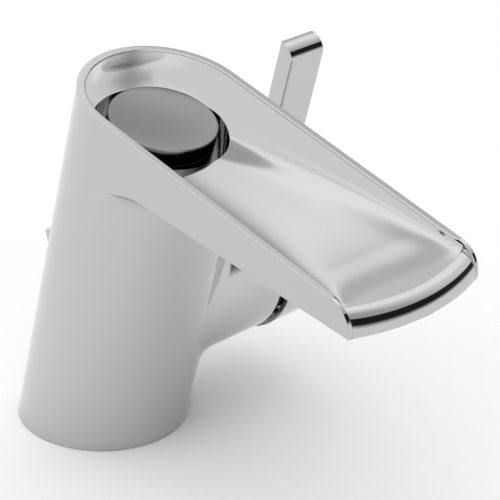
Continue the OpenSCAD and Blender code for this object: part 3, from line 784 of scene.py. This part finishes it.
def make_cap(s):
    f = CAP_SKIRT_EDGE
    low, high = CAP_START + f, CAP_END - CAP_EDGE
    lathe(s, bend(CAP_R - CAP_EDGE, high, CAP_EDGE, 0, 90, 13), hub, hub_dir)
    lathe(s, [(r, CAP_END, 0, 1) for r in (CAP_R - CAP_EDGE, 12, 0.01)], hub, hub_dir)
    lathe(s, bend(CAP_R - f, low, f, 0, -90) + bend(CAP_SKIRT_R + f, low, f, -90, -180), hub, hub_dir)
    lathe(s, [(CAP_SKIRT_R, low, -1, 0), (CAP_SKIRT_R, CAP_FLOOR, -1, 0)], hub, hub_dir)
    lathe(s, [(CAP_SKIRT_R, CAP_FLOOR, 0, -1), (CAP_BORE_R, CAP_FLOOR, 0, -1)], hub, hub_dir)

    def place(a, x):
        return hub(*polar(CAP_R, a), x)

    def normal(a, x):
        return hub_dir(*polar(1, a), 0 * x)

    # outer face, with the grub screw's hole in a patch on its underside
    a0, a1 = math.pi - GRUB_PATCH, math.pi + GRUB_PATCH
    a = np.linspace(a1 - TAU, a0, 201)[None, :]
    x = low + np.linspace(0, 1, 5)[:, None] * (high - low)
    s.grid(place(a, x), normal(a, x))
    psi = np.linspace(0, TAU, 64, endpoint=False)
    mid = (CAP_FLOOR + CAP_END) / 2
    ring = list(zip(math.pi - np.arcsin(GRUB_R * np.sin(psi) / CAP_R), mid + GRUB_R * np.cos(psi)))
    hole_patch(s, place, normal, ((a0, a1), (low, high)), ring)
    psi = np.append(psi, TAU)
    h = np.array([-math.sqrt(CAP_R ** 2 - GRUB_R ** 2), -GRUB_END])[:, None]
    s.grid(hub(h, GRUB_R * np.sin(psi), mid + GRUB_R * np.cos(psi)), hub_dir(0, -np.sin(psi), -np.cos(psi)))


def make_cover(s):
    """Round cover: dished top with a soft edge, down to the seam."""
    big = (COVER_R ** 2 + COVER_DISH ** 2) / (2 * COVER_DISH)
    r = np.linspace(0.01, COVER_R - COVER_EDGE, 40)
    sag = big - np.sqrt(big ** 2 - r ** 2)
    f = COVER_FOOT_EDGE
    profile = [(q, COVER_TOP + g - sag[-1], -q / big, math.sqrt(1 - (q / big) ** 2)) for q, g in zip(r, sag)]
    profile += bend(COVER_R - COVER_EDGE, COVER_TOP - COVER_EDGE, COVER_EDGE, 90, 0, 9)[1:]
    profile += [(COVER_R, COVER_SEAM + f, 1, 0)]
    profile += bend(COVER_R - f, COVER_SEAM + f, f, 0, -90, 5)[1:]
    profile += [(COVER_FOOT_R, COVER_SEAM, 0, -1)]
    lathe(s, profile, col, col_dir)


BODY = (make_channel, make_bowl, make_rim, make_lip, make_sides, make_underside, make_cove, make_hub,
        make_column, make_rod_exit, make_foot)
skins = {}
for name, node, body, makers in (("body_skin", "body_casting", "casting", BODY),
                                 ("cap_skin", "handle_cap", "handle", (make_cap,)),
                                 ("cover_skin", "outlet_cover", "casting", (make_cover,))):
    skin = Skin()
    for make in makers:
        make(skin)
    obj = skin.mesh(name)
    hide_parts(node)
    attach(obj, body)
    skins[node] = obj


# Node helpers

def calculate(nt, kind, *values):
    """Math node on numbers or sockets."""
    n = nt.nodes.new("ShaderNodeMath")
    n.operation = kind
    for k, v in enumerate(values):
        if isinstance(v, (int, float)):
            n.inputs[k].default_value = v
        else:
            nt.links.new(v, n.inputs[k])
    return n.outputs[0]


def map_range(nt, value, x0, x1, y0=0.0, y1=1.0, smooth=True):
    """Map Range node: y0 up to x0, y1 from x1 on."""
    n = nt.nodes.new("ShaderNodeMapRange")
    n.interpolation_type = "SMOOTHSTEP" if smooth else "LINEAR"
    for key, v in zip(("From Min", "From Max", "To Min", "To Max"), (x0, x1, y0, y1)):
        n.inputs[key].default_value = v
    nt.links.new(value, n.inputs["Value"])
    return n.outputs["Result"]


def new_material(name):
    m = bpy.data.materials.new(name)
    m.use_nodes = True
    return m, m.node_tree, m.node_tree.nodes["Principled BSDF"]


# Materials

def material(name, colour, low, high, metallic=0.0, scale=300):
    """One colour whose roughness wanders between low and high with fine noise."""
    m, nt, bsdf = new_material(name)
    bsdf.inputs["Base Color"].default_value = (*colour, 1)
    bsdf.inputs["Metallic"].default_value = metallic
    co = nt.nodes.new("ShaderNodeTexCoord")
    noise = nt.nodes.new("ShaderNodeTexNoise")
    noise.inputs["Scale"].default_value = scale
    noise.inputs["Detail"].default_value = 4.0
    nt.links.new(co.outputs["Object"], noise.inputs["Vector"])
    nt.links.new(map_range(nt, noise.outputs["Fac"], 0, 1, low, high, smooth=False), bsdf.inputs["Roughness"])
    return m


MATS = {
    "chrome": material("chrome_plate", (0.53, 0.535, 0.54), 0.05, 0.09, 1.0, 90),
    # the cover's satin roughness is its finish, but its base colour, about half that of the body's chrome, is
    # painted shade for the dark reflection in its top
    "cover": material("chrome_satin_painted_shade", (0.26, 0.262, 0.266), 0.12, 0.18, 1.0, 140),
    "raw_brass": material("brass_machined", (0.72, 0.55, 0.28), 0.2, 0.35, 1.0),
    "steel": material("steel_machined", (0.6, 0.61, 0.63), 0.2, 0.32, 1.0),
    "seal_rubber": material("rubber_black", (0.02, 0.02, 0.021), 0.55, 0.75),
    # the ring between cap and hub is a real part, but its near-black colour is painted shade for the dark gap
    # between cap and hub
    "dark_ring": material("ring_black_painted_gap_shade", (0.012, 0.012, 0.013), 0.12, 0.2),
    "cartridge_plastic": material("plastic_ivory", (0.78, 0.76, 0.7), 0.4, 0.5),
    "ceramic": material("ceramic_white", (0.88, 0.87, 0.84), 0.1, 0.16),
}
slots = {p["node"]: p["material_slot"] for p in frame["record"]["subparts"]}
for name, obj in frame["nodes"].items():
    obj.data.materials.clear()
    obj.data.materials.append(MATS[slots[name]])
for name, obj in skins.items():
    # the cover skin takes the cover's material, whose darkened base colour is painted shade
    obj.data.materials.append(MATS["cover" if name == "outlet_cover" else "chrome"])


# Studio: light all round, and the floor

def studio_world():
    """Pale studio: one even level, brighter overhead, with soft-edged cards that the chrome mirrors.

    Cards are placed by azimuth, from +Y towards +X, and elevation, in degrees.
    """
    world = bpy.data.worlds.new("studio")
    bpy.context.scene.world = world
    world.use_nodes = True
    nt = world.node_tree
    calc, ramp = partial(calculate, nt), partial(map_range, nt)
    co = nt.nodes.new("ShaderNodeTexCoord")
    split = nt.nodes.new("ShaderNodeSeparateXYZ")
    nt.links.new(co.outputs["Generated"], split.inputs[0])
    az = calc("MULTIPLY", calc("ARCTAN2", split.outputs[0], split.outputs[1]), 180 / math.pi)
    el = calc("MULTIPLY", calc("ARCSINE", split.outputs[2]), 180 / math.pi)

    def card(level, target, a0, a1, e0, e1, soft_a, soft_e):
        """Mixes a level towards a target inside a box of azimuth and elevation with soft edges."""
        mask = calc("MULTIPLY", ramp(az, a0 - soft_a, a0 + soft_a), ramp(az, a1 - soft_a, a1 + soft_a, 1, 0))
        mask = calc("MULTIPLY", mask, ramp(el, e0 - soft_e, e0 + soft_e))
        mask = calc("MULTIPLY", mask, ramp(el, e1 - soft_e, e1 + soft_e, 1, 0))
        return calc("ADD", level, calc("MULTIPLY", mask, calc("SUBTRACT", target, level)))

    level = ramp(el, 60, 75, 1.08, 1.3)
    # a panel dim below and bright above, a bright one beside it, and a dimmer patch in the first
    level = card(level, ramp(el, 25, 37, 0.6, 1.35), 38, 78, 8, 63, 6, 3)
    level = card(level, 1.3, 74, 104, 36, 58, 4, 4)
    level = card(level, ramp(el, 40, 49, 0.76, 1.35), 55, 70, 36, 49, 3, 2)
    # a grey panel between +X and -Y
    level = card(level, ramp(az, 108, 135, 1.0, 0.55), 102, 172, 0, 60, 6, 5)
    # a slanted dark flag in front of it, between two rising lines, that takes nearly all the light
    low, high = ramp(az, 100, 170, -1, 10, False), ramp(az, 100, 170, 14, 48, False)
    mask = calc("MULTIPLY", ramp(az, 94, 100), ramp(az, 171, 174, 1, 0))
    mask = calc("MULTIPLY", mask, ramp(calc("SUBTRACT", el, low), -5, 6))
    mask = calc("MULTIPLY", mask, ramp(calc("SUBTRACT", el, high), -1, 1, 1, 0))
    level = calc("MULTIPLY", level, calc("SUBTRACT", 1.0, calc("MULTIPLY", mask, 0.965)))
    background = nt.nodes["Background"]
    background.inputs["Color"].default_value = (1, 1, 1, 1)
    nt.links.new(level, background.inputs["Strength"])


def studio_floor():
    """Pale floor, white where it is seen directly, in metal or through glass."""
    m, nt, bsdf = new_material("studio_floor")
    bsdf.inputs["Roughness"].default_value = 0.9
    path = nt.nodes.new("ShaderNodeLightPath")
    seen = path.outputs["Is Camera Ray"]
    for kind in ("Is Glossy Ray", "Is Transmission Ray"):
        seen = calculate(nt, "MAXIMUM", seen, path.outputs[kind])
    nt.links.new(map_range(nt, seen, 0, 1, 0.9, 1.0, smooth=False), bsdf.inputs["Base Color"])
    bpy.ops.mesh.primitive_plane_add(size=6, location=(0, 0, 0))
    floor = bpy.context.object
    floor.name = "studio_floor"
    floor.data.materials.append(m)


studio_floor()
studio_world()

# Camera, fitted to the photograph: place in metres, angles in radians, focal length in pixels of its 500
CAMERA_AT = Vector((-0.3905, -0.4513, 0.3399))
TURN, PITCH, ROLL = math.radians(45.128), math.radians(25.728), math.radians(0.169)
FOCAL_PX, PHOTO_PX = 2262.95, 500
SENSOR = 36

cam = bpy.data.cameras.new("camera")
cam_obj = bpy.data.objects.new("camera", cam)
bpy.context.scene.collection.objects.link(cam_obj)
cam.sensor_width = SENSOR
cam.lens = FOCAL_PX / PHOTO_PX * SENSOR
cam.clip_start, cam.clip_end = 0.01, 20
ahead = Vector((math.sin(TURN) * math.cos(PITCH), math.cos(TURN) * math.cos(PITCH), -math.sin(PITCH)))
level_right = Vector((math.cos(TURN), -math.sin(TURN), 0))
level_up = level_right.cross(ahead)
right = level_right * math.cos(ROLL) + level_up * math.sin(ROLL)
upward = level_up * math.cos(ROLL) - level_right * math.sin(ROLL)
cam_obj.matrix_world = Matrix.Translation(CAMERA_AT) @ Matrix((right, upward, -ahead)).transposed().to_4x4()
bpy.context.scene.camera = cam_obj
bpy.context.scene.view_settings.view_transform = "Standard"
